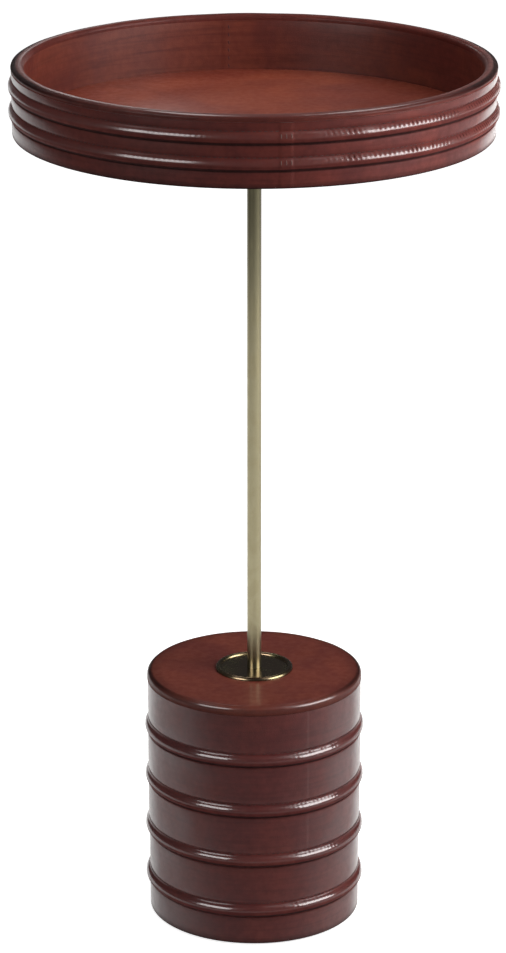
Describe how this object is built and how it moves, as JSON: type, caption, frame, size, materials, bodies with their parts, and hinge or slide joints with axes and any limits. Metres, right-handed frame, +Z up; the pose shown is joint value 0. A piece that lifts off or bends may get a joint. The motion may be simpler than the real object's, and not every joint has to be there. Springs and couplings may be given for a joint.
{
  "type": "drinks table",
  "caption": "Small round drinks table: leather-covered tray top with raised ribs and a rolled rim, on a slender brass stem and a heavy ribbed leather drum foot.",
  "frame": {"origin": "centre of the foot, on the floor", "axes": "+Z up along the stem; -Y is the front, the side that faces the camera"},
  "size_m": [0.3086, 0.3086, 0.575],
  "materials": {
    "leather_side": "glossy waxed oxblood hide",
    "leather_top": "waxed red-brown hide",
    "leather_inner": "waxed red-brown hide with a stitched seam",
    "leather_floor": "waxed hide, lighter and more orange",
    "leather_edge": "burnished, nearly black",
    "brass": "satin antique brass",
    "dark_brass": "polished, darkly patinated",
    "steel": "zinc plated",
    "cast_iron": "as cast",
    "plywood": "bare birch plywood",
    "fibreboard": "bare fibreboard",
    "cotton_cord": "half-round piping cord",
    "felt": "dark felt"
  },
  "bodies": {
    "root": {"foot_pad": "felt", "foot_bottom_board": "fibreboard", "foot_core_tube": "fibreboard", "foot_ballast": "cast_iron", "foot_top_board": "fibreboard", "foot_rib_cord_1": "cotton_cord", "foot_rib_cord_2": "cotton_cord", "foot_rib_cord_3": "cotton_cord", "foot_rib_cord_4": "cotton_cord", "foot_side_leather": "leather_side", "foot_top_leather": "leather_top", "stem_flange": "dark_brass", "stem_tube": "brass", "stem_tie_rod": "steel", "tie_rod_washer": "steel", "tie_rod_nut": "steel", "stem_top_socket": "brass", "tray_mount_plate": "steel", "mount_screw_1": "steel", "mount_screw_2": "steel", "mount_screw_3": "steel", "mount_screw_4": "steel", "tray_underside_leather": "leather_side", "tray_floor_board": "plywood", "tray_hoop": "plywood", "tray_rib_cord_1": "cotton_cord", "tray_rib_cord_2": "cotton_cord", "tray_outer_leather": "leather_side", "tray_floor_leather": "leather_floor", "tray_inner_leather": "leather_inner", "tray_rim_binding": "leather_edge"}
  },
  "joints": []
}
